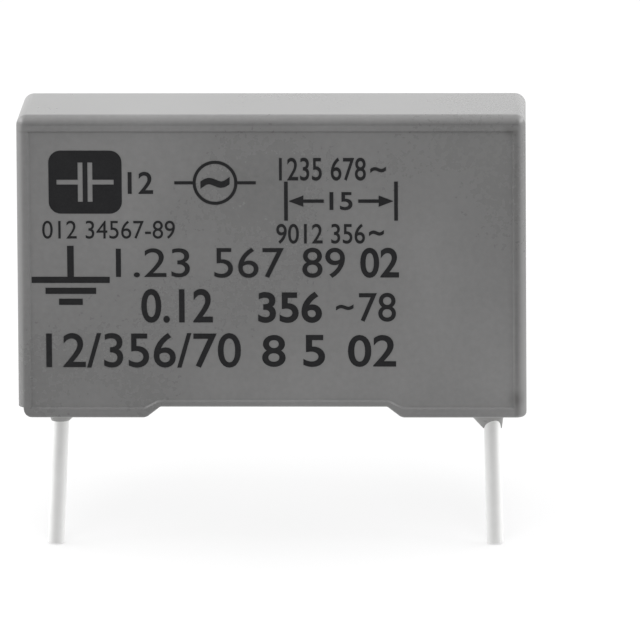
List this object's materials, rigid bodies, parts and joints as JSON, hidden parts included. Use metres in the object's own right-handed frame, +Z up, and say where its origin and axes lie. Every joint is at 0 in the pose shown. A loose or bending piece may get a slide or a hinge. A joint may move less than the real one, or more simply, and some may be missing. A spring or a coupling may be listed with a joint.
{
  "type": "box film capacitor",
  "caption": "Flat rectangular box capacitor: a moulded grey case with standoff feet, potted round a film winding, with straight tinned wire leads below.",
  "frame": {"origin": "midway between the two lead axes on the seating plane of the feet", "axes": "+X from the left lead to the right lead as seen facing the printed side, +Y to the back, +Z up through the roof"},
  "size_m": [0.0178, 0.005, 0.0158],
  "materials": {
    "case": "fine satin moulding",
    "resin": "cast, slightly glossy",
    "film": "metallised film, tightly wound",
    "sprayed_metal": "rough sprayed zinc",
    "lead": "bright tinned wire"
  },
  "bodies": {
    "root": {"case": "case", "potting_resin": "resin", "film_winding": "film", "end_spray_left": "sprayed_metal", "end_spray_right": "sprayed_metal", "lead_left": "lead", "lead_right": "lead"}
  },
  "joints": []
}
